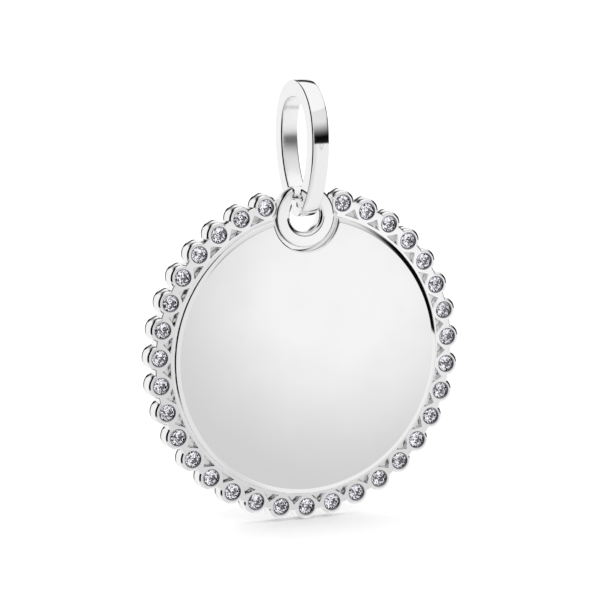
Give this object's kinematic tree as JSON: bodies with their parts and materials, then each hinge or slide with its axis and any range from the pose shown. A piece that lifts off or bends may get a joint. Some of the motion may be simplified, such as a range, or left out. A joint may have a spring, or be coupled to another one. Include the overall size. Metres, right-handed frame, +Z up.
{
  "type": "disc pendant",
  "caption": "Round polished disc pendant with a border of bezel-set clear stones, hung by a loop from an oval bail.",
  "frame": {"origin": "top of the bail's opening, where a chain passes through and carries the pendant", "axes": "+Z up, the disc's face toward -Y, +X to the right of someone looking at the face"},
  "size_m": [0.02, 0.0058, 0.0264],
  "materials": {
    "silver": "mirror-polished silver",
    "stone": "clear, cut as round brilliants"
  },
  "bodies": {
    "bail": {"bail": "silver"},
    "pendant": {"setting": "silver", "stone_01": "stone", "stone_02": "stone", "stone_03": "stone", "stone_04": "stone", "stone_05": "stone", "stone_06": "stone", "stone_07": "stone", "stone_08": "stone", "stone_09": "stone", "stone_10": "stone", "stone_11": "stone", "stone_12": "stone", "stone_13": "stone", "stone_14": "stone", "stone_15": "stone", "stone_16": "stone", "stone_17": "stone", "stone_18": "stone", "stone_19": "stone", "stone_20": "stone", "stone_21": "stone", "stone_22": "stone", "stone_23": "stone", "stone_24": "stone", "stone_25": "stone", "stone_26": "stone", "stone_27": "stone", "stone_28": "stone", "stone_29": "stone", "stone_30": "stone", "stone_31": "stone", "stone_32": "stone", "stone_33": "stone"}
  },
  "joints": [
    {"name": "pendant_swing", "type": "hinge", "parent": "bail", "child": "pendant", "pos_m": [0, 0, -0.00567], "axis": [1, 0, 0], "range_deg": [-75, 75]}
  ]
}
